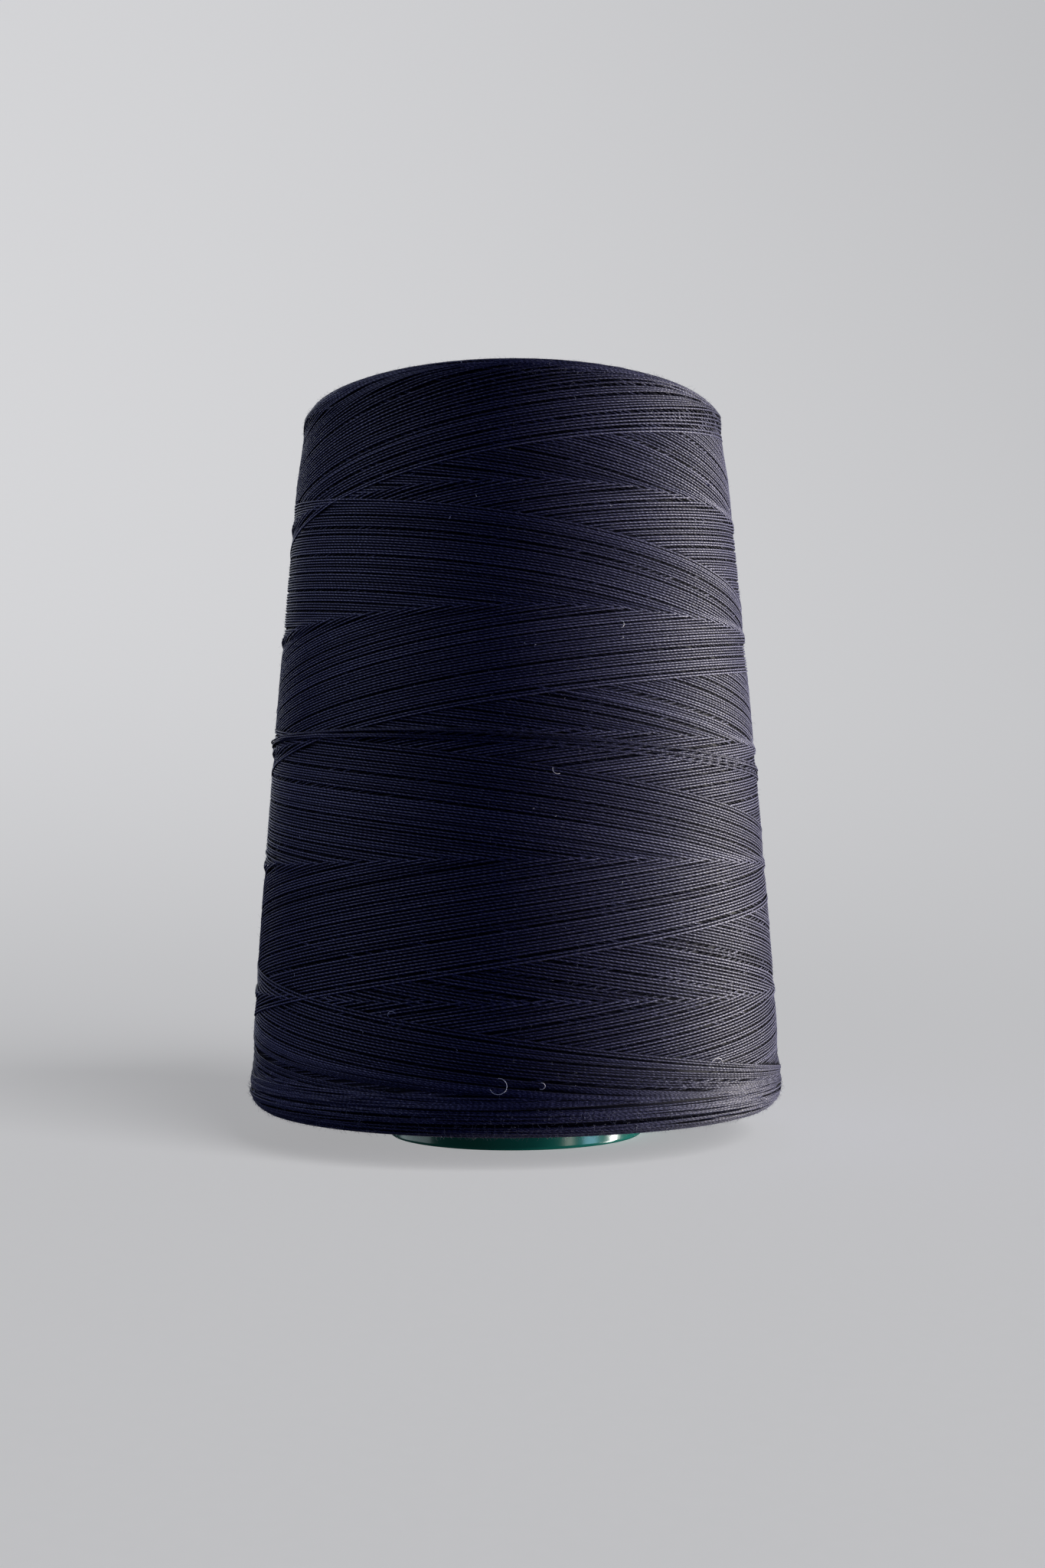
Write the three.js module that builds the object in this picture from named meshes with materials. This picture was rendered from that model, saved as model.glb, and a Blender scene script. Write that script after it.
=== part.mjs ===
// Cone of sewing thread: a cross-wound thread package on a hollow tapered plastic tube.
// Millimetres, +Z up along the cone's axis. The tube's base rim stands on z = 0.
// The two pieces are surfaces of revolution about Z, so each is one closed lathe profile.
import * as THREE from 'three';

// ---- driving dimensions ----
const SEGMENTS = 72;                                   // flats round each piece
const HALF_ANGLE = THREE.MathUtils.degToRad(4 + 1 / 3); // the standard 4 deg 20 min cone
const TAPER = Math.tan(HALF_ANGLE);                    // radius lost per mm of height

const TUBE_LENGTH = 110;
const RIM_RADIUS = 18.2;        // outside of the base rim, at z = 0
const RIM_HEIGHT = 3.6;         // the rim's thick band, which stays in view below the thread
const RIM_STEP = 0.5;           // the rim stands this far proud of the shaft
const RIM_BORE_RADIUS = 16.1;   // mouth of the bore at the base
const EDGE_RADIUS = 0.5;        // rounding of the rim's two edges
const SHAFT_WALL = 1.6;
const NOSE_BORE_RADIUS = 6.8;   // the nose is turned in to a smaller hole
const NOSE_RING_HEIGHT = 3.2;
const NOSE_ROUNDING = 1.2;      // outer edge of the nose
const NOSE_BORE_ROUNDING = 0.5; // inner edge of the nose

const PACKAGE_BASE = 4.2;       // the winding starts this far above the base
const PACKAGE_LENGTH = 100;
const WINDING_GAP = 0.3;        // clearance between the tube and the winding
const BASE_CORNER = 3.0;        // rounding of the package's lower edge
const TOP_CORNER = 1.2;         // rounding of the package's upper edge
const RIDGE_RADIUS = 38.1;      // hard ridge just above the lower edge
const RIDGE_HEIGHT = 3.4;
const GROOVE_RADIUS = 37.6;     // slight waist above that ridge
const GROOVE_HEIGHT = 6.8;
const SIDE_START = 10;          // heights between which the side is one smooth bulged taper
const SIDE_END = 90;
const SIDE_RADIUS = 38.16;      // that taper, run down to the package's base
const SIDE_SLOPE = 0.0508;      // radius lost per mm at the base
const SIDE_BULGE = 0.000217;    // extra radius lost per mm squared, towards the top
const SHOULDER_RADIUS = 31.15;  // the side draws in to a straighter shoulder
const SHOULDER_HEIGHT = 94.5;
const TOP_RADIUS = 30.75;

// ---- profile helpers: a profile is a list of Vector2(radius, height) ----
const point = (radius, height) => new THREE.Vector2(radius, height);

// Rounds a corner with a quarter turn about (radius, height), from one angle to another.
function corner(radius, height, size, fromDegrees, toDegrees, steps = 4) {
  const points = [];
  for (let i = 0; i <= steps; i += 1) {
    const angle = THREE.MathUtils.degToRad(fromDegrees + ((toDegrees - fromDegrees) * i) / steps);
    points.push(point(radius + size * Math.cos(angle), height + size * Math.sin(angle)));
  }
  return points;
}

// Turns a closed profile about Z into a named mesh.
function revolve(name, profile, material) {
  const geometry = new THREE.LatheGeometry([...profile, profile[0].clone()], SEGMENTS);
  geometry.rotateX(Math.PI / 2);
  const mesh = new THREE.Mesh(geometry, material);
  mesh.name = name;
  return mesh;
}

// ---- the tube ----
const shaftRadius = (height) => RIM_RADIUS - RIM_STEP - TAPER * height;
const shaftBore = (height) => shaftRadius(height) - SHAFT_WALL;

function tubeProfile() {
  const ringUnderside = TUBE_LENGTH - NOSE_RING_HEIGHT;
  const rimTop = RIM_RADIUS - TAPER * RIM_HEIGHT;
  const noseOuter = shaftRadius(TUBE_LENGTH);
  return [
    point(RIM_BORE_RADIUS, EDGE_RADIUS),
    point(RIM_BORE_RADIUS + EDGE_RADIUS, 0),
    ...corner(RIM_RADIUS - EDGE_RADIUS, EDGE_RADIUS, EDGE_RADIUS, -90, 0),
    point(rimTop, RIM_HEIGHT - RIM_STEP),
    point(shaftRadius(RIM_HEIGHT), RIM_HEIGHT),
    ...corner(noseOuter - NOSE_ROUNDING, TUBE_LENGTH - NOSE_ROUNDING, NOSE_ROUNDING, 0, 90),
    ...corner(
      NOSE_BORE_RADIUS + NOSE_BORE_ROUNDING, TUBE_LENGTH - NOSE_BORE_ROUNDING,
      NOSE_BORE_ROUNDING, 90, 180,
    ),
    point(NOSE_BORE_RADIUS, ringUnderside),
    point(shaftBore(ringUnderside), ringUnderside - 1),
    point(shaftBore(RIM_HEIGHT + RIM_STEP), RIM_HEIGHT + RIM_STEP),
  ];
}

// ---- the wound thread ----
const sideRadius = (height) => SIDE_RADIUS - SIDE_SLOPE * height - SIDE_BULGE * height ** 2;

// Outside of the package, from its lower edge to its upper edge, in heights above its base.
function packageSide() {
  const steps = 8;
  const taper = [];
  for (let i = 0; i <= steps; i += 1) {
    const height = SIDE_START + ((SIDE_END - SIDE_START) * i) / steps;
    taper.push(point(sideRadius(height), height));
  }
  return [
    ...corner(RIDGE_RADIUS - BASE_CORNER, BASE_CORNER, BASE_CORNER, -90, 0),
    point(RIDGE_RADIUS, RIDGE_HEIGHT),
    point(GROOVE_RADIUS, GROOVE_HEIGHT),
    ...taper,
    point(SHOULDER_RADIUS, SHOULDER_HEIGHT),
    ...corner(TOP_RADIUS - TOP_CORNER, PACKAGE_LENGTH - TOP_CORNER, TOP_CORNER, 0, 90),
  ];
}

function packageProfile() {
  const top = PACKAGE_BASE + PACKAGE_LENGTH;
  const bore = (height) => shaftRadius(height) + WINDING_GAP;
  const outside = packageSide().map((p) => point(p.x, p.y + PACKAGE_BASE));
  return [...outside, point(bore(top), top), point(bore(PACKAGE_BASE), PACKAGE_BASE)];
}

// ---- materials ----
const greenPlastic = new THREE.MeshStandardMaterial({ color: 0x0f4a3d, roughness: 0.22, metalness: 0 });
const navyThread = new THREE.MeshStandardMaterial({ color: 0x1b1c2a, roughness: 0.85, metalness: 0 });

// ---- assembly ----
const cone = new THREE.Group();
cone.add(revolve('cone_tube', tubeProfile(), greenPlastic));
cone.add(revolve('thread_package', packageProfile(), navyThread));

export default cone;
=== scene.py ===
"""Looks for a cone of sewing thread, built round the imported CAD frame.

The thread is laid as a winding machine lays it. It climbs the cone in three turns and comes down in
three, and each double traverse lands one pitch beside the last. Every pass rests on the ones below it,
held taut round the cone, so the crossings, the fronts of the newest passes and the ridge round the waist
are real geometry. Lengths are millimetres and angles degrees, until add_mesh() and add_camera() turn them
into metres and radians. Only the lights' sizes and distances are given in metres.
"""
import math

import bpy
import numpy as np
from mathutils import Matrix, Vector


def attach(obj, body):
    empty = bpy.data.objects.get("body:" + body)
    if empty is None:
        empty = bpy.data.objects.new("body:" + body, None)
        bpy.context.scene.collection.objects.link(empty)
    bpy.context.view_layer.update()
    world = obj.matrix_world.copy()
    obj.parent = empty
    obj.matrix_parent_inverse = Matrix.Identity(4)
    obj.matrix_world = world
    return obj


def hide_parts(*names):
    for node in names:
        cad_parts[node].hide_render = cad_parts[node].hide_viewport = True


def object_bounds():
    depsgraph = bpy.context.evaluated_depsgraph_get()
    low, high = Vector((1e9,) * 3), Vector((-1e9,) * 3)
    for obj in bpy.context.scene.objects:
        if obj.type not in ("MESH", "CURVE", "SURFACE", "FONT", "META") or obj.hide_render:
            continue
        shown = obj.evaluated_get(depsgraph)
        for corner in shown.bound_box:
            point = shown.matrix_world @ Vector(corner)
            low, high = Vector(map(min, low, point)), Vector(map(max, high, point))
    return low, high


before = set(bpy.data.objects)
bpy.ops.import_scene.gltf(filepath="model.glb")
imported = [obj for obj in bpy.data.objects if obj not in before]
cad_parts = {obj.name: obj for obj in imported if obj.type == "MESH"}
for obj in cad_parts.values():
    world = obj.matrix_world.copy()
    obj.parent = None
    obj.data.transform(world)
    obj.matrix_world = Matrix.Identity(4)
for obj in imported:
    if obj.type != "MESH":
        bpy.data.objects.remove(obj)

MM = 0.001
CAD_BOX = [list(corner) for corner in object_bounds()]
rng = np.random.default_rng(7)


# ---------------------------------------------------------------- camera
CAMERA_DISTANCE = 233.2     # from the cone's axis
CAMERA_HEIGHT = 33.6        # above the floor
CAMERA_SIDE = 1.1           # to the right of the axis
CAMERA_LIFT = 4.12          # upward tilt
CAMERA_ROLL = 0.31          # clockwise roll
SENSOR = 36.0               # long side of the picture
LENS = 36.5


def add_camera():
    data = bpy.data.cameras.new("camera")
    data.sensor_width = SENSOR
    data.lens = LENS
    data.clip_start = 1 * MM
    data.clip_end = 10.0
    camera = bpy.data.objects.new("camera", data)
    camera.location = (CAMERA_SIDE * MM, -CAMERA_DISTANCE * MM, CAMERA_HEIGHT * MM)
    camera.rotation_euler = (math.radians(90 + CAMERA_LIFT), math.radians(CAMERA_ROLL), 0)
    bpy.context.collection.objects.link(camera)
    bpy.context.scene.camera = camera


add_camera()
bpy.context.scene.view_settings.view_transform = "Standard"
bpy.context.scene.cycles.denoising_prefilter = "NONE"


# ---------------------------------------------------------------- meshes
MIDDLE = np.mean(CAD_BOX, 0) / MM


def bake_map(corners):
    """A map for baked colour: each face corner (faces, sides, 3) by its direction from the middle."""
    x, y, z = np.moveaxis(corners - MIDDLE, -1, 0)
    u = np.arctan2(y, x) / (2 * np.pi) + 0.5
    u = u[:, :1] + (u - u[:, :1] + 0.5) % 1 - 0.5
    v = np.arctan2(z, np.hypot(x, y)) / np.pi + 0.5
    return np.clip(np.stack([u, v], -1), 0, 1)


def add_mesh(name, vertices, faces, material, strand_map=None, tone_and_shade=None):
    """A smooth-shaded piece from millimetre vertices and equal-sided faces.

    strand_map is a (distance along, share round) pair for each face corner, and the tone values, one per
    vertex, carry a strand's own tone with painted shade in it."""
    mesh = bpy.data.meshes.new(name)
    mesh.vertices.add(len(vertices))
    mesh.vertices.foreach_set("co", (vertices * MM).astype(np.float32).ravel())
    mesh.loops.add(faces.size)
    mesh.loops.foreach_set("vertex_index", faces.astype(np.int32).ravel())
    mesh.polygons.add(len(faces))
    mesh.polygons.foreach_set("loop_start", np.arange(0, faces.size, faces.shape[1], dtype=np.int32))
    mesh.update(calc_edges=True)
    mesh.polygons.foreach_set("use_smooth", np.full(len(faces), True))
    baked = mesh.uv_layers.new(name="OFBake")
    baked.data.foreach_set("uv", bake_map(vertices[faces]).astype(np.float32).ravel())
    if strand_map is not None:
        along = mesh.uv_layers.new(name="strand")
        along.data.foreach_set("uv", strand_map.astype(np.float32).ravel())
    if tone_and_shade is not None:
        mesh.attributes.new("tone_and_shade", "FLOAT", "POINT").data.foreach_set("value", tone_and_shade.astype(np.float32))
    mesh.materials.append(material)
    piece = bpy.data.objects.new(name, mesh)
    bpy.context.collection.objects.link(piece)
    return piece


shown = []


def belongs(piece, slot, *nodes):
    """Makes a piece ride on the one body, in place of the CAD nodes given, which it hides. The slot is
    not used.
    """
    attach(piece, "root")
    if nodes:
        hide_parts(*nodes)
    shown.append(piece)


def unit(vectors):
    return vectors / np.linalg.norm(vectors, axis=-1, keepdims=True)


def sweep(lines, normals, half_width, half_thickness, sides):
    """Closed tubes of oval section, with an even number of sides, along lines (count, points, 3).

    The half sizes are numbers or (count, points) arrays, and the thickness is along the normals.
    Returns vertices, quads and the strand map for add_mesh()."""
    count, points = lines.shape[:2]
    ahead = np.gradient(lines, axis=1)
    across = unit(np.cross(ahead, normals))
    up = unit(np.cross(across, ahead))
    turn = np.arange(sides) * 2 * np.pi / sides
    width = np.broadcast_to(half_width, (count, points))[..., None, None]
    thickness = np.broadcast_to(half_thickness, (count, points))[..., None, None]
    ring = np.cos(turn)[:, None] * width * across[:, :, None]
    ring += np.sin(turn)[:, None] * thickness * up[:, :, None]
    vertices = (lines[:, :, None] + ring).reshape(-1, 3)

    steps = (np.arange(count), np.arange(points - 1), np.arange(sides))
    line, point, side = np.meshgrid(*steps, indexing="ij")
    start = (line * points + point) * sides
    onward = start + sides
    beside = (side + 1) % sides
    walls = np.stack([start + side, start + beside, onward + beside, onward + side], -1).reshape(-1, 4)
    first = np.arange(count)[:, None] * points * sides
    last = first + (points - 1) * sides
    fans = [np.array([0, i + 2, i + 1, i]) for i in range(1, sides - 2, 2)]
    caps = np.concatenate([first + fan for fan in fans] + [last + fan[::-1] for fan in fans])

    step = np.linalg.norm(np.diff(lines, axis=1), axis=-1)
    length = np.concatenate([np.zeros((count, 1)), np.cumsum(step, 1)], 1)
    near, far = length[line, point].ravel(), length[line, point + 1].ravel()
    low, high = (side / sides).ravel(), ((side + 1) / sides).ravel()
    wall_map = np.stack([near, low, near, high, far, high, far, low], -1).reshape(-1, 4, 2)
    cap_map = np.zeros((len(caps), 4, 2))
    return vertices, np.concatenate([walls, caps]), np.concatenate([wall_map, cap_map])


def turned(outline, segments):
    """Vertices and quads of a closed outline of (radius, height) points, turned round the Z axis."""
    angle = np.arange(segments) * 2 * np.pi / segments
    radius, height = outline.T
    x = np.outer(np.cos(angle), radius)
    y = np.outer(np.sin(angle), radius)
    vertices = np.stack([x, y, np.broadcast_to(height, x.shape)], -1).reshape(-1, 3)
    column, row = np.meshgrid(np.arange(segments), np.arange(len(outline)), indexing="ij")
    right, above = (column + 1) % segments, (row + 1) % len(outline)
    n = len(outline)
    faces = np.stack([column * n + row, right * n + row, right * n + above, column * n + above], -1)
    return vertices, faces.reshape(-1, 4)


# ---------------------------------------------------------------- outlines from the CAD
SAME_PLACE = 0.001


def cad_outline(node):
    """A turned CAD node's closed outline: (radius, height) points from its lowest inner one outwards."""
    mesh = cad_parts[node].data
    points = np.array([v.co for v in mesh.vertices]) / MM
    on_plane = (np.abs(points[:, 1]) < SAME_PLACE) & (points[:, 0] > 0)
    place = [tuple(np.round((p[0], p[2]), 3)) for p in points]
    beside = {}
    for edge in mesh.edges:
        a, b = edge.vertices
        if on_plane[a] and on_plane[b] and place[a] != place[b]:
            beside.setdefault(place[a], set()).add(place[b])
            beside.setdefault(place[b], set()).add(place[a])
    start = min(beside, key=lambda p: (p[1], p[0]))
    outline = [start, max(beside[start])]
    while True:
        onward = next(p for p in beside[outline[-1]] if p != outline[-2])
        if onward == start:
            return np.array(outline)
        outline.append(onward)


class Surface:
    """The smooth outside of the thread package by arc length, reaching the tube at both ends.

    It runs out along the bottom face, up the side, and in along the top face."""

    STEP = 0.1
    SOFTEN = 0.5            # blur that rounds off the CAD outline's corners
    GAP = 0.3               # the CAD package's clearance from the tube
    SIDEWAYS = 0.7          # the side is where the normal points out by at least this share

    def __init__(self, outline):
        outline = outline.copy()
        outline[0, 0] -= self.GAP
        outline[-1, 0] -= self.GAP
        length = np.concatenate([[0], np.cumsum(np.hypot(*np.diff(outline, axis=0).T))])
        self.s = np.arange(0, length[-1], self.STEP)
        self.radius, self.height = (self.soften(np.interp(self.s, length, outline[:, i])) for i in (0, 1))
        along = np.stack([np.gradient(self.radius), np.gradient(self.height)])
        along /= np.hypot(*along)
        self.out_radius, self.out_height = along[1], -along[0]
        self.length = self.s[-1]
        self.base = self.height[0]
        self.side = self.out_radius > self.SIDEWAYS

    def soften(self, values):
        reach = int(3 * self.SOFTEN / self.STEP)
        weights = np.exp(-0.5 * (np.arange(-reach, reach + 1) * self.STEP / self.SOFTEN) ** 2)
        before = 2 * values[0] - values[reach:0:-1]
        after = 2 * values[-1] - values[-2:-reach - 2:-1]
        return np.convolve(np.concatenate([before, values, after]), weights / weights.sum(), "valid")

    def at(self, s, azimuth, lift):
        """Points (..., 3) at arc length s and an azimuth, lifted off the surface, and their normals."""
        columns = (self.radius, self.height, self.out_radius, self.out_height)
        radius, height, out_radius, out_height = (np.interp(s, self.s, c) for c in columns)
        x, y = np.cos(np.radians(azimuth)), np.sin(np.radians(azimuth))
        reach = radius + lift * out_radius
        points = np.stack([reach * x, reach * y, height + lift * out_height], -1)
        return points, np.stack([out_radius * x, out_radius * y, out_height], -1)

    def s_of(self, height):
        """Arc length at a height above the package's base on its side, run on straight past both ends."""
        s, rise = self.s[self.side], self.height[self.side] - self.base
        past = np.minimum(height - rise[0], 0) + np.maximum(height - rise[-1], 0)
        return np.interp(height, rise, s) + past


package = Surface(cad_outline("thread_package"))
FRONT = -90.0               # the azimuth that faces the camera


# ---------------------------------------------------------------- winding the thread
THREAD_WIDTH = 0.265
THREAD_THICKNESS = 0.23     # the winding's tension flattens a strand a little
THREAD_SIDES = 6            # sides of its section
TURNS = 3                   # turns in each pass, up or down
COVER = 80                  # double traverses that cover the cone once
STEADY_SPEED = 32.4         # height the guide gains per turn, away from the edges
GUIDE_TURNS = (0, 0.12, 0.3, 0.5, 1.0, 1.2, 2.3, 2.6, 2.87, 3.0)            # turns from the base
GUIDE_SPEED = (0, 17, 31, 38, 33, STEADY_SPEED, STEADY_SPEED, 36, 39.5, 0)  # the guide's speed there
MEETING_HEIGHT = 50.5       # above the package's base, where the newest passes up and down meet, halfway
MEETING_AZIMUTH = FRONT - 47
EDGE_SCATTER = 0.3          # how unevenly the thread turns back at an edge
EDGE_DRIFT = 11             # passes over which that drifts one way
EDGE_REACH = 5.0            # how far from an edge that shows
EDGE_DARKENING = 0.42         # brightness taken off the strands' colour near an edge of the winding
LEAST_SHARE = 0.02          # of its thickness that a strand adds where the passes crowd at an edge
PRESSING = 0.65             # how much of a ridge the later winding pressed flat
PRESSED_FROM = -0.05        # height over the smooth package above which it pressed
PASS_TONE = 0.13            # how much one pass differs from the next in brightness
LENGTH_TONE = 0.08          # how much the brightness drifts along the thread
TONE_STRETCH = 100          # points of thread over which it drifts one way
CROWD = 0.042               # how much closer than the even pitch the passes of one group lie
GROUP_SIZES = (2, 5)        # fewest passes in a group, and one more than the most
GROUP_WANDER = 0.09         # how far a group strays along its passes, all together
WANDERS_PER_TURN = 3        # how often it changes course
WANDER = 0.015              # how far a single strand strays from its group
WANDER_TURNS = 0.4          # turns between its changes of course
RADIUS = 35.0               # about the package's mean radius, for the sag of a taut strand
TAUT_ROUNDS = 70            # rounds of smoothing that pull a strand taut
CELL = 0.045                # height map's step along the outline
OPEN_DEPTH = 0.4            # strand thicknesses below the top down to which the light is full
SHADED_DEPTH = 0.8          # and where it would be gone
LEAST_LIGHT = 0.12          # though this much still gets in
TABLE_STEPS = 1200

turn_table = np.linspace(0, TURNS, TABLE_STEPS + 1)
rise_table = np.cumsum(np.interp(turn_table, GUIDE_TURNS, GUIDE_SPEED)) * TURNS / TABLE_STEPS
rise_table += MEETING_HEIGHT - np.interp(TURNS / 2, turn_table, rise_table)


def smooth_noise(places, spacing, size):
    """Seeded smooth random values at the places, with a bend about every spacing."""
    knots = np.arange(places.min() - spacing, places.max() + 2 * spacing, spacing)
    values = rng.normal(0, size, len(knots))
    at = (places - knots[0]) / spacing
    i = at.astype(int)
    blend = (at - i) ** 2 * (3 - 2 * (at - i))
    return values[i] * (1 - blend) + values[i + 1] * blend


def taut(support):
    """The lowest line over the support that a taut thread can take round the cone, degree by degree."""
    sag = (RADIUS * math.radians(1)) ** 2 / (2 * RADIUS)
    line = support.copy()
    for _ in range(TAUT_ROUNDS):
        line[1:-1] = np.maximum(support[1:-1], 0.5 * (line[:-2] + line[2:]) - sag)
    return line


class HeightMap:
    """Height of the wound surface over the smooth package, by whole degree and by cell of arc length."""

    BLUR = 1.0              # along the outline, for the mean height
    reach = round(THREAD_WIDTH / 2 / CELL)
    offsets = np.arange(-reach, reach + 1)
    bulge = THREAD_THICKNESS / 2 * np.sqrt(1 - (offsets / reach) ** 2)

    def __init__(self):
        self.cells = np.zeros((360, int(package.length / CELL) + 2 * self.reach), np.float32)

    def lay(self, azimuth, s, share):
        """Lays a strand on what is there and returns the height of its middle.

        share is how much of its thickness it adds. The rest presses into the strands below it."""
        column = (azimuth % 360)[:, None]
        cell = np.rint(s / CELL).astype(int)[:, None] + self.offsets
        bulge = np.multiply.outer(share, self.bulge)
        middle = taut((self.cells[column, cell] + bulge).max(1))
        top = middle[:, None] + bulge
        self.cells[column, cell] = np.maximum(self.cells[column, cell], top)
        return middle

    def openness(self, azimuth, s, middle):
        """How open strands lie to the light, from 1 on top to LEAST_LIGHT below others, for the painted
        shade in their colour.
        """
        column = (azimuth % 360).astype(int)
        cell = np.rint(s / CELL).astype(int)
        around = 3 * self.reach
        last = self.cells.shape[1] - 1
        tops = [self.cells[column, np.clip(cell + k, 0, last)] for k in range(-around, around + 1)]
        depth = (np.mean(tops, 0) - middle) / THREAD_THICKNESS
        return np.clip((SHADED_DEPTH - depth) / (SHADED_DEPTH - OPEN_DEPTH), LEAST_LIGHT, 1)

    def mean(self, s):
        """Mean height round the cone at arc length s, blurred along the outline."""
        reach = int(3 * self.BLUR / CELL)
        weights = np.exp(-0.5 * (np.arange(-reach, reach + 1) * CELL / self.BLUR) ** 2)
        mean = np.convolve(self.cells.mean(0), weights / weights.sum(), "same")
        return np.interp(s, np.arange(len(mean)) * CELL, mean)


edges = package.s_of(rise_table[[0, -1]])


def guide_pass(number, count):
    """One pass of the guide out of count: azimuths by the degree, arc lengths, and shares for lay().

    A double traverse is 1 / COVER of a turn longer than twice TURNS, so it lands beside the last one."""
    span = TURNS + 0.5 / COVER
    newest_up = (count - 1.5) * span    # halfway up the last upward pass, in turns of the cone
    start, end = (360 * (turns * span - newest_up) + MEETING_AZIMUTH for turns in (number, number + 1))
    azimuth = np.arange(math.ceil(start), math.ceil(end))
    turns = (azimuth - start) / 360 * TURNS / span
    if number % 2:
        turns = TURNS - turns
    s = package.s_of(np.interp(turns, turn_table, rise_table))
    speed = np.interp(turns, GUIDE_TURNS, GUIDE_SPEED) / STEADY_SPEED
    return azimuth, s, np.clip(speed**2, LEAST_SHARE, 1)


def near(s, edge):
    """1 at an edge of the winding, fading to 0 away from it."""
    return np.exp(-((s - edge) / EDGE_REACH) ** 2)


def group_offsets(count, downward):
    """For each pass one way: its shift towards its group's middle, and the group's wander along it."""
    offsets = []
    while len(offsets) < count // 2:
        size = int(rng.integers(*GROUP_SIZES))
        wander = rng.normal(0, GROUP_WANDER, WANDERS_PER_TURN * TURNS + 2)
        shift = CROWD * (np.arange(size) - (size - 1) / 2)
        offsets += [(-x if downward else x, wander) for x in shift]
    return offsets


def wind():
    """Covers the package twice, and returns the height map and the newer half of the passes.

    Each pass is an array of four rows: azimuth, arc length, height and tone."""
    surface = HeightMap()
    count = 4 * COVER
    groups = [group_offsets(count, downward) for downward in (False, True)]
    low, high = edges
    edge = smooth_noise(np.arange(count + 1), EDGE_DRIFT, EDGE_SCATTER)
    edge += rng.normal(0, EDGE_SCATTER / 5, count + 1)
    lays = []
    for number in range(count):
        azimuth, s, share = guide_pass(number, count)
        bottom, top = edge[number], edge[number + 1]
        if number % 2:
            bottom, top = top, bottom
        s += bottom * near(s, low) + top * near(s, high)
        offset, wander = groups[number % 2][number // 2]
        turns = (azimuth - azimuth[0]) / 360
        group = np.interp(turns, np.arange(len(wander)) / WANDERS_PER_TURN, wander)
        s += offset + group + smooth_noise(turns, WANDER_TURNS, WANDER)
        height = surface.lay(azimuth, s, share)
        if number >= count // 2:
            lays.append(np.stack([azimuth, s, height, np.full(len(s), rng.normal(1, PASS_TONE))]))
    return surface, lays


surface, lays = wind()


# ---------------------------------------------------------------- materials
def new_material(name):
    material = bpy.data.materials.new(name)
    material.use_nodes = True
    tree = material.node_tree
    return material, tree, tree.nodes["Principled BSDF"]


def add_node(tree, kind, inputs=None, **settings):
    """A node with its settings, and its inputs as numbers or as the output sockets that feed them."""
    node = tree.nodes.new(kind)
    for name, value in settings.items():
        setattr(node, name, value)
    for name, value in (inputs or {}).items():
        if isinstance(value, bpy.types.NodeSocket):
            tree.links.new(value, node.inputs[name])
        else:
            node.inputs[name].default_value = value
    return node


def ramp(tree, factor, *stops):
    """A colour ramp's output, from (place, colour) stops."""
    node = add_node(tree, "ShaderNodeValToRGB", {"Fac": factor})
    elements = node.color_ramp.elements
    while len(elements) < len(stops):
        elements.new(0.5)
    for element, (place, colour) in zip(elements, stops):
        element.position = place
        element.color = (*colour, 1)
    return node.outputs["Color"]


def spread(tree, value, low, high, start=0.0, stop=1.0):
    """A value from start to stop turned into one from low to high."""
    limits = {"Value": value, "From Min": start, "From Max": stop, "To Min": low, "To Max": high}
    return add_node(tree, "ShaderNodeMapRange", limits).outputs["Result"]


def combine(tree, operation, first, second=0.0):
    return add_node(tree, "ShaderNodeMath", {0: first, 1: second}, operation=operation).outputs[0]


def scaled(tree, place, scale):
    return add_node(tree, "ShaderNodeMapping", {"Vector": place, "Scale": scale}).outputs["Vector"]


def noise(tree, place, scale, detail):
    inputs = {"Vector": place, "Scale": scale, "Detail": detail}
    return add_node(tree, "ShaderNodeTexNoise", inputs).outputs["Fac"]


def add_bump(tree, shader, height, strength, depth):
    inputs = {"Height": height, "Strength": strength, "Distance": depth * MM}
    bump = add_node(tree, "ShaderNodeBump", inputs)
    tree.links.new(bump.outputs["Normal"], shader.inputs["Normal"])


PLIES = 2
PLY_LENGTH = 0.72           # from one ply's crown to the next along a strand
PLY_SHADE_AND_HIGHLIGHT = (0.45, 1.25)   # painted shade between two plies, and painted highlight on a ply's crown
PLY_DEPTH = 0.012           # how deep the plies' bump is
FLANK_SHADE = 0.95          # painted shade: brightness taken off a strand's flanks, where its neighbours would shade it
FIBRE_GRAIN = (5, 7, 1)     # how fine the fibre noise is along a strand, and round it
WAVE_PERIOD = math.pi / 5   # a diagonal wave texture's, at scale 1


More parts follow.
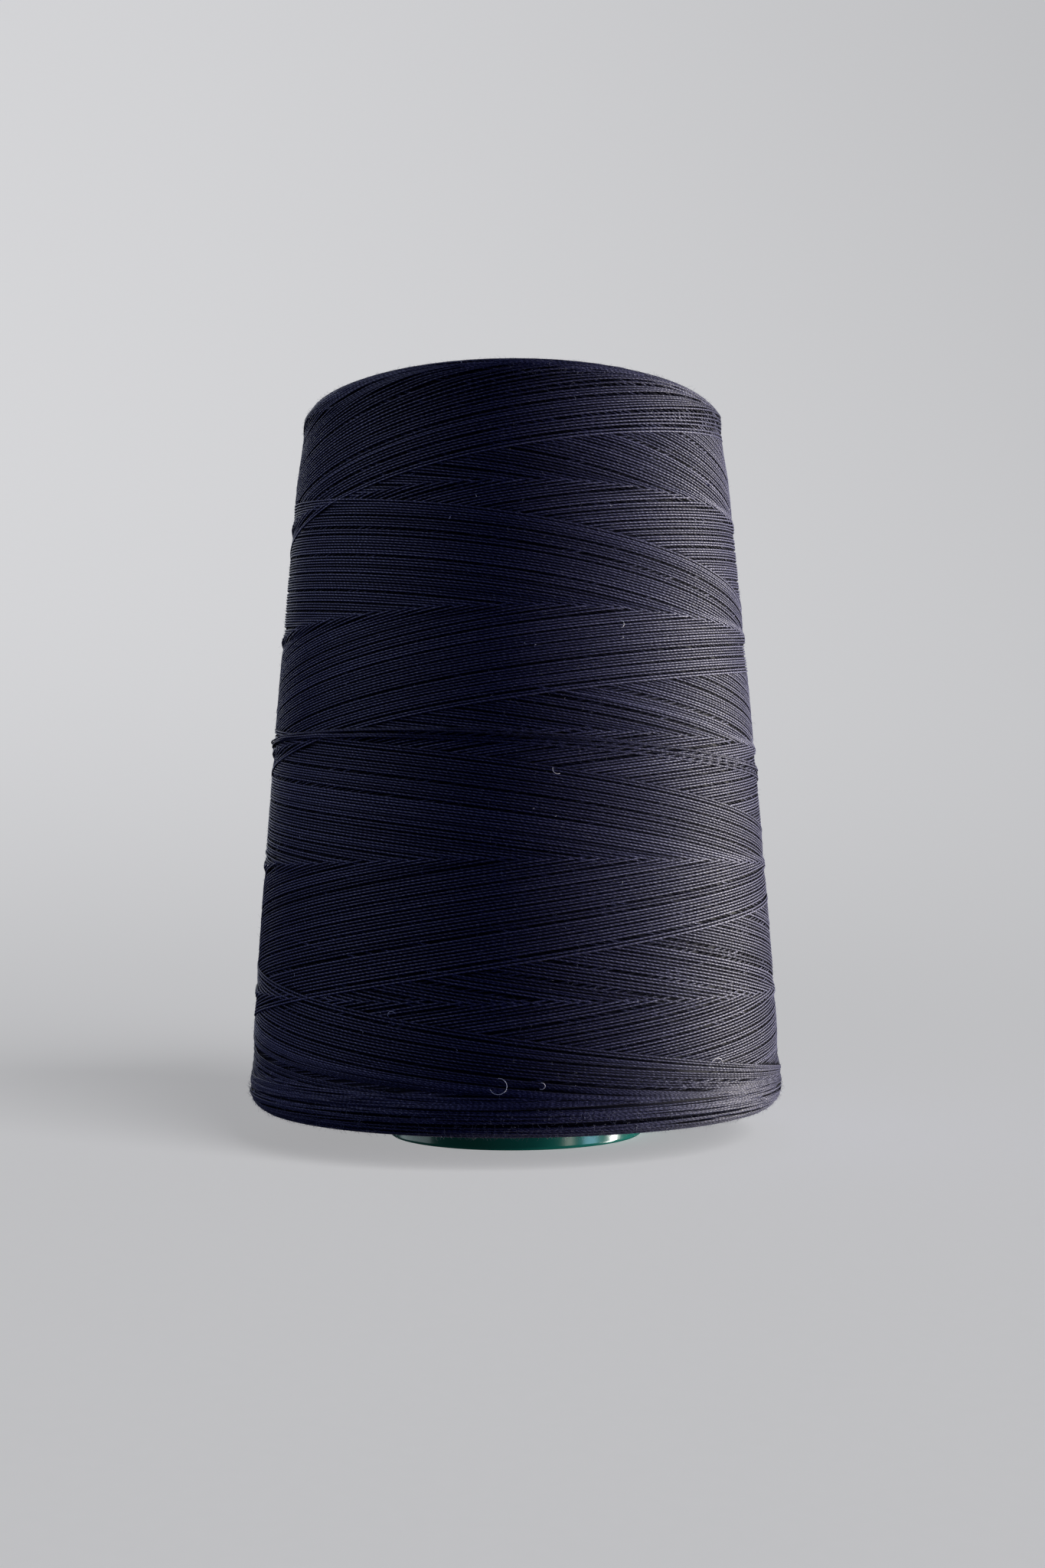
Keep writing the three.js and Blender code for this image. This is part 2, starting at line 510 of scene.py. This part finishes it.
def thread_material(name, dark, light, bright, ply_depth=0.0, painted_flank_shade=0.0):
    """Spun polyester: coloured fibre, two twisted plies, and fibres lying along them.

    Its tone attribute carries each strand's own tone and, as painted shade, how open it lies to the
    light; the flank setting paints shade on its flanks."""
    material, tree, shader = new_material(name)
    tone_and_shade = add_node(tree, "ShaderNodeAttribute", attribute_name="tone_and_shade").outputs["Fac"]
    strand = add_node(tree, "ShaderNodeUVMap", uv_map="strand").outputs["UV"]
    stretched = scaled(tree, strand, FIBRE_GRAIN)
    fibre = noise(tree, stretched, 1.0, 3.0)
    # bright flecks where fibre ends stand out: painted glints, as if they catch the light
    fibre_glints = noise(tree, stretched, 0.7, 1.0)
    fibre_shade = spread(tree, fibre, 0.1, 0.9, 0.3, 0.7)
    grain_and_glints = combine(tree, "ADD", fibre_shade, spread(tree, fibre_glints, 0, 0.8, 0.6, 0.72))
    round_share = add_node(tree, "ShaderNodeSeparateXYZ", {"Vector": strand}).outputs["Y"]
    outward = combine(tree, "SINE", combine(tree, "MULTIPLY", round_share, 2 * math.pi))
    shade = combine(tree, "MULTIPLY", tone_and_shade, grain_and_glints)
    # painted shade: the strand's flanks darker than its crown
    shade = combine(tree, "MULTIPLY", shade, spread(tree, outward, 1 - painted_flank_shade, 1))
    if ply_depth:
        twisted = scaled(tree, strand, (WAVE_PERIOD / PLY_LENGTH, PLIES * WAVE_PERIOD, 1))
        wave = {"Vector": twisted, "Scale": 1.0}
        plies = add_node(tree, "ShaderNodeTexWave", wave, bands_direction="DIAGONAL").outputs["Fac"]
        add_bump(tree, shader, plies, 1.0, ply_depth)
        # painted shade between the plies and painted highlight on their crowns, over their real bump
        shade = combine(tree, "MULTIPLY", shade, spread(tree, plies, *PLY_SHADE_AND_HIGHLIGHT))
    # the colour and the gloss both follow this value, so the painted shade darkens both
    colour = ramp(tree, shade, (0.0, dark), (0.5, light), (1.0, bright))
    tree.links.new(colour, shader.inputs["Base Color"])
    tree.links.new(spread(tree, shade, 0.0, 0.42), shader.inputs["Specular IOR Level"])
    tree.links.new(spread(tree, fibre, 0.42, 0.58), shader.inputs["Roughness"])
    shader.inputs["Sheen Weight"].default_value = 0.02
    shader.inputs["Sheen Roughness"].default_value = 0.4
    shader.inputs["Sheen Tint"].default_value = (1.0, 0.98, 0.96, 1)
    return material


thread = thread_material(
    "thread", (0.0008, 0.0008, 0.002), (0.036, 0.037, 0.087), (0.11, 0.11, 0.185), PLY_DEPTH, FLANK_SHADE,
)
# a darker copy of the thread: painted shade for the inside of the package
shaded_thread = thread_material("thread_in_painted_shade", (0.0015, 0.0015, 0.004), (0.01, 0.01, 0.024), (0.02, 0.02, 0.04))
hair = thread_material("thread_hair", (0.06, 0.062, 0.095), (0.18, 0.185, 0.245), (0.32, 0.325, 0.4))
pale = thread_material("pale_lint", (0.3, 0.3, 0.32), (0.5, 0.5, 0.51), (0.65, 0.65, 0.65))


def plastic_material():
    """Glossy moulded plastic, deep green, with faint flow marks and handling scuffs."""
    material, tree, shader = new_material("green_plastic")
    place = add_node(tree, "ShaderNodeTexCoord").outputs["Object"]
    cloud = noise(tree, place, 60.0, 3.0)
    green = ramp(tree, cloud, (0.3, (0.006, 0.11, 0.085)), (0.7, (0.008, 0.14, 0.105)))
    tree.links.new(green, shader.inputs["Base Color"])
    scuff = noise(tree, place, 900.0, 4.0)
    tree.links.new(spread(tree, scuff, 0.1, 0.26), shader.inputs["Roughness"])
    add_bump(tree, shader, scuff, 0.25, 0.02)
    shader.inputs["Specular IOR Level"].default_value = 0.5
    return material


# ---------------------------------------------------------------- the pieces
PIECE_POINTS = 16000        # points of thread in one piece, to keep each mesh a handy size
SAMPLE = 2                  # degrees between a strand's points
THREAD_SECTION = (THREAD_WIDTH / 2, THREAD_THICKNESS / 2, THREAD_SIDES)
STRAND_TONE = (0.8, 0.12)   # brightness of the separate strands, and how much it differs


def add_winding():
    """The package's outer layers: one thread, cut into pieces that meet end to end."""
    azimuth, s, height, tone_and_shade = np.concatenate(lays, 1)[:, ::SAMPLE]
    # painted shade: strands that lie under others get a darker colour
    tone_and_shade = tone_and_shade * surface.openness(azimuth, s, height)
    tone_and_shade *= 1 + smooth_noise(np.arange(len(s)) / TONE_STRETCH, 1.0, LENGTH_TONE)
    # darker near both edges of the winding
    tone_and_shade *= 1 - EDGE_DARKENING * (near(s, edges[0]) + near(s, edges[1]))
    height -= surface.mean(s) + THREAD_THICKNESS / 2
    height -= PRESSING * np.maximum(height - PRESSED_FROM, 0)
    points, normals = package.at(s, azimuth, height)
    starts = range(0, len(s) - 1, PIECE_POINTS)
    for number, start in enumerate(starts, 1):
        cut = slice(start, start + PIECE_POINTS + 1)
        vertices, faces, strand_map = sweep(points[None, cut], normals[None, cut], *THREAD_SECTION)
        vertex_tone_and_shade = np.repeat(tone_and_shade[cut], THREAD_SIDES)
        piece = add_mesh(f"winding_{number:02d}", vertices, faces, thread, strand_map, vertex_tone_and_shade)
        belongs(piece, "thread", *(["thread_package"] if number == 1 else []))


add_winding()


def strand_piece(name, s, azimuth, lift, half_width, half_thickness, sides, material):
    """A piece made of many separate strands, from (count, points) arrays of their lay."""
    points, normals = package.at(s, azimuth, lift)
    vertices, faces, strand_map = sweep(points, normals, half_width, half_thickness, sides)
    tone_and_shade = np.repeat(rng.normal(*STRAND_TONE, len(s)), s.shape[1] * sides)
    belongs(add_mesh(name, vertices, faces, material, strand_map, tone_and_shade), "thread")


WAIST_TURNS = 5             # the last turns, laid by hand round the waist
WAIST_HEIGHT = 49.6
WAIST_TILT = 2.3            # they lie lower on the right than on the left by twice this
WAIST_SPACING = 0.31
TUCK_LENGTH = 8             # degrees over which their ends dive
TUCK_DEPTH = 0.6


def add_waist():
    """The last few turns, side by side round the waist, with their ends tucked under."""
    lines = []
    for number in range(WAIST_TURNS):
        azimuth = np.arange(360) + 360 * number + rng.integers(90)
        tilt = WAIST_TILT + rng.normal(0, 0.3)
        height = WAIST_HEIGHT - tilt * np.sin(np.radians(azimuth - FRONT + rng.normal(0, 8)))
        s = package.s_of(height) + (number - WAIST_TURNS / 2) * WAIST_SPACING
        s += smooth_noise(azimuth / 360, 0.2, 0.2)
        lift = surface.lay(azimuth, s, np.ones(360)) - surface.mean(s) - THREAD_THICKNESS / 2
        ends = np.minimum(np.arange(360), np.arange(360)[::-1])
        lift -= TUCK_DEPTH * np.maximum(1 - ends / TUCK_LENGTH, 0) ** 2
        lines.append((s[::SAMPLE], azimuth[::SAMPLE], lift[::SAMPLE]))
    strand_piece("waist_turns", *np.moveaxis(lines, 1, 0), *THREAD_SECTION, thread)


add_waist()


END_ARCS = 5                # separate turns of thread that show in one ring of an end face
END_SPACING = 0.23
END_POINTS = 20
END_DEPTH = 0.12            # how deep an arc lies, on average
END_DIVE = 0.32             # how much deeper its two ends go into the package
END_SHARE = 0.2             # share of each half that dives
END_OVERLAP = 1.0           # how far the rings run on under the winding
GROOVE_OFFSET = 0.6         # from the winding's lower edge, outwards
GROOVE_WIDTH = 0.3
GROOVE_DEPTH = 0.2


def add_end(name, s_from, s_to, groove_depth):
    """An end face: rings of short arcs, where the thread came out of the package and went in again."""
    rings = np.arange(s_from, s_to, END_SPACING)
    ring = np.repeat(rings + rng.normal(0, 0.05, len(rings)), END_ARCS)[:, None]
    count = len(ring)
    across = np.linspace(-1, 1, END_POINTS)
    half = rng.uniform(40, 62, (count, 1))
    middle = rng.uniform(0, 360, (count, 1))
    middle += np.tile(np.arange(END_ARCS), len(rings))[:, None] * 360 / END_ARCS
    azimuth = middle + half * across
    s = ring + rng.normal(0, 0.25, (count, 1)) * across + rng.normal(0, 0.2, (count, 1)) * across**2
    ends = np.maximum(np.abs(across) - (1 - END_SHARE), 0) / END_SHARE
    lift = rng.normal(-END_DEPTH, 0.04, (count, 1)) - END_DIVE * ends**2
    lift -= groove_depth * np.exp(-((s - edges[0] + GROOVE_OFFSET) / GROOVE_WIDTH) ** 2)
    strand_piece(name, s, azimuth, lift, *THREAD_SECTION, thread)


add_end("base_end", 0.0, edges[0] + END_OVERLAP, GROOVE_DEPTH)
add_end("top_end", edges[1] - END_OVERLAP, package.length, 0.0)


FIBRE_POINTS = 6
FIBRE_SIDES = 4
FIBRE_ROOT = 0.06           # how deep a loose fibre starts
FIBRE_BEND = 1.6            # radians that its heading turns along it, evenly
FIBRE_CURL = 1.2            # and more and more towards its tip


def loose_fibres(name, count, lengths, rises, radius, material, stretch=(0, 1)):
    """Short fibres that lie on the surface or stand off it, each with its own curl.

    They are spread over a stretch of the surface, in shares of its area from the bottom face up."""
    along = np.linspace(0, 1, FIBRE_POINTS)
    share = np.cumsum(package.radius) / package.radius.sum()
    s = np.interp(rng.uniform(*stretch, (count, 1)), share, package.s)
    azimuth = rng.uniform(0, 360, (count, 1))
    length = rng.uniform(*lengths, (count, 1)) * rng.uniform(0.5, 1, (count, 1))
    heading = rng.uniform(0, 2 * np.pi, (count, 1)) + rng.normal(0, FIBRE_BEND, (count, 1)) * along
    heading = heading + rng.normal(0, FIBRE_CURL, (count, 1)) * along**2
    step = length / (FIBRE_POINTS - 1)
    aside = np.cumsum(np.cos(heading), 1) * step
    s = s + np.cumsum(np.sin(heading), 1) * step
    radius_there = np.interp(s[:, :1], package.s, package.radius)
    azimuth = azimuth + np.degrees(aside / radius_there)
    rise = rng.uniform(*rises, (count, 1)) * length
    lift = rise * along ** rng.uniform(0.6, 1.4, (count, 1)) - FIBRE_ROOT
    taper = radius * (1 - 0.5 * along) * rng.uniform(0.7, 1.2, (count, 1))
    strand_piece(name, s, azimuth, lift, taper, taper, FIBRE_SIDES, material)


loose_fibres("fuzz_low", 2500, (0.4, 1.6), (0.05, 0.25), 0.009, hair)
loose_fibres("fuzz_high", 4500, (0.2, 0.9), (0.4, 1.0), 0.010, hair)
loose_fibres("fuzz_fine", 4500, (0.2, 0.6), (0.2, 0.8), 0.009, hair)
loose_fibres("fuzz_base", 3200, (0.25, 0.9), (0.5, 1.0), 0.012, hair, (0.10, 0.15))
loose_fibres("fuzz_top", 2000, (0.2, 0.8), (0.5, 1.0), 0.011, hair, (0.89, 0.92))
loose_fibres("lint", 170, (0.2, 0.6), (0.05, 0.4), 0.045, pale)


CURLS = (                   # azimuth, height and radius of each, and the angles it curls from and through
    (FRONT + 43, 7.6, 1.3, 5, 165),
    (FRONT - 3, 6.6, 1.0, 200, 250),
    (FRONT + 5, 6.6, 0.4, 100, -220),
    (FRONT + 24, 64.5, 0.5, -70, 170),
    (FRONT + 9, 45.5, 0.6, 160, 140),
    (FRONT - 24, 15.0, 0.5, 20, 190),
)
CURL_POINTS = 12
CURL_FIBRE_RADIUS = 0.035
CURL_LIFT = 0.05            # how high a curl's ends lie
CURL_RISE = 0.3             # share of a curl's radius that its middle rises


def add_curls():
    """The few longer fibres that curl up off the surface."""
    along = np.linspace(0, 1, CURL_POINTS)
    azimuth, height, radius, start, through = (np.array(column)[:, None] for column in zip(*CURLS))
    angle = np.radians(start + through * along)
    s = package.s_of(height) + radius * np.sin(angle)
    around = azimuth + np.degrees(radius * np.cos(angle) / RADIUS)
    lift = CURL_LIFT + CURL_RISE * np.sin(np.pi * along) * radius
    strand_piece("lint_curls", s, around, lift, CURL_FIBRE_RADIUS, CURL_FIBRE_RADIUS, FIBRE_SIDES, pale)


add_curls()


CORE_DEPTH = 0.45           # below the smooth package
CORE_STEP = 1.0
# painted shade: how dark the core's colour is kept
CORE_PAINTED_SHADE = 0.25
CORE_SEGMENTS = 180


def add_core():
    """A sheet just below the package's outer layers, in a darker copy of the thread: painted shade for
    the dark inside, which fills the gaps between the strands.
    """
    s = np.arange(0, package.length, CORE_STEP)
    points, _ = package.at(s, 0, -CORE_DEPTH)
    outline = points[:, [0, 2]]
    vertices, faces = turned(outline, CORE_SEGMENTS)
    tone_and_shade = np.full(len(vertices), CORE_PAINTED_SHADE)
    piece = add_mesh("winding_core", vertices, faces, shaded_thread, np.zeros((len(faces), 4, 2)), tone_and_shade)
    belongs(piece, "thread")


add_core()


TUBE_SEGMENTS = 256
SHARP_ANGLE = 35            # edges of the tube that turn more than this stay crisp


def add_tube():
    """The moulded tube, turned finely from its CAD outline."""
    vertices, faces = turned(cad_outline("cone_tube"), TUBE_SEGMENTS)
    piece = add_mesh("tube", vertices, faces, plastic_material())
    piece.data.set_sharp_from_angle(angle=math.radians(SHARP_ANGLE))
    belongs(piece, "tube_plastic", "cone_tube")
    return piece


tube = add_tube()


# ---------------------------------------------------------------- stage and light
PAPER = np.array([0.80, 0.80, 0.815])
PAPER_GLOW = 0.45           # stands for the light of a pale room, which the stage would throw on itself
FLOOR_RADIUS = 120          # where the floor starts to curve up
WALL_RADIUS = 1300
WALL_HEIGHT = 1500
STAGE_SEGMENTS = 96
STAGE_STEPS = 25            # rings of the curve up


def add_stage():
    """A pale floor that curves up all round into a wall, with no corner to see."""
    arc = np.radians(np.linspace(0, 90, STAGE_STEPS))
    radius = np.concatenate([[0], FLOOR_RADIUS + (WALL_RADIUS - FLOOR_RADIUS) * np.sin(arc)])
    height = np.concatenate([[0], WALL_HEIGHT * (1 - np.cos(arc)) ** 1.5])
    vertices, faces = turned(np.stack([radius, height], -1), STAGE_SEGMENTS)
    faces = faces.reshape(STAGE_SEGMENTS, -1, 4)[:, :-1].reshape(-1, 4)     # left open at the top
    material, tree, shader = new_material("paper")
    place = add_node(tree, "ShaderNodeTexCoord").outputs["Object"]
    colour = ramp(tree, noise(tree, place, 700.0, 3.0), (0.3, PAPER * 0.97), (0.7, PAPER))
    tree.links.new(colour, shader.inputs["Base Color"])
    shader.inputs["Roughness"].default_value = 0.9
    shader.inputs["Emission Color"].default_value = (*PAPER, 1)
    shader.inputs["Emission Strength"].default_value = PAPER_GLOW
    stage = add_mesh("stage", vertices, faces, material)
    stage.visible_diffuse = False
    stage.visible_glossy = False
    stage.visible_shadow = False
    return stage


stage = add_stage()


def lit_objects(name, *objects):
    """A collection that a light can be kept to."""
    collection = bpy.data.collections.new(name)
    for thing in objects:
        collection.objects.link(thing)
    return collection


def add_light(name, kind, bearing, elevation, power, colour, only, size, distance=0.85, seen=True):
    """A light that looks at the CAD's middle and lights one collection.

    Its bearing is from the camera's side, to the right. Its size is a rectangle's two sides in metres, or
    a sun's angle, and seen says whether it shows in reflections."""
    data = bpy.data.lights.new(name, kind)
    data.energy = power
    data.color = colour
    if kind == "AREA":
        data.shape = "RECTANGLE"
        data.size, data.size_y = size
    else:
        data.angle = math.radians(size)
    light = bpy.data.objects.new(name, data)
    a, e = math.radians(bearing), math.radians(elevation)
    away = Vector((math.sin(a) * math.cos(e), -math.cos(a) * math.cos(e), math.sin(e)))
    light.location = Vector(MIDDLE * MM) + away * distance
    light.rotation_mode = "QUATERNION"
    light.rotation_quaternion = away.to_track_quat("Z", "Y")
    light.visible_camera = False
    light.visible_glossy = seen
    light.light_linking.receiver_collection = only
    bpy.context.collection.objects.link(light)


floor_only = lit_objects("floor_only", stage)
tube_only = lit_objects("tube_only", tube)
thread_only = lit_objects("thread_only", *(piece for piece in shown if piece != tube))
add_light("key", "AREA", 98.5, -3, 16.5, (1.0, 0.94, 0.8), thread_only, (0.4, 0.6), 0.6)
add_light("side", "AREA", 78, 5, 1.4, (0.3, 0.4, 1.0), thread_only, (0.3, 0.5), 0.6)
add_light("fill", "AREA", -82, 38, 0.9, (0.75, 0.82, 1.0), thread_only, (0.4, 0.4), 0.4)
add_light("back", "AREA", -168, 25, 2.7, (0.9, 0.95, 1.0), thread_only, (0.8, 0.6))
add_light("sky_front", "SUN", 20, 15, 0.31, (0.08, 0.15, 1.0), thread_only, 170, seen=False)
add_light("sky_back", "SUN", 245, 15, 0.34, (0.08, 0.15, 1.0), thread_only, 170, seen=False)
add_light("glint", "AREA", 98, -8, 13, (1.0, 0.97, 0.93), tube_only, (0.1, 0.8))
add_light("window", "AREA", 70, -8, 2.2, (0.42, 0.74, 1.0), tube_only, (0.22, 0.5))
add_light("card", "AREA", 48, -8, 0.8, (1.0, 0.92, 0.82), tube_only, (0.12, 0.5))
add_light("bounce", "AREA", -105, -8, 1.5, (0.8, 0.95, 1.0), tube_only, (0.7, 0.5))
add_light("room", "SUN", 40, 30, 1.2, (1.0, 1.0, 1.0), floor_only, 40)
world = bpy.data.worlds.new("world")
world.use_nodes = True
world.node_tree.nodes["Background"].inputs["Color"].default_value = (0.7, 0.8, 1.0, 1)
world.node_tree.nodes["Background"].inputs["Strength"].default_value = 0.03
bpy.context.scene.world = world
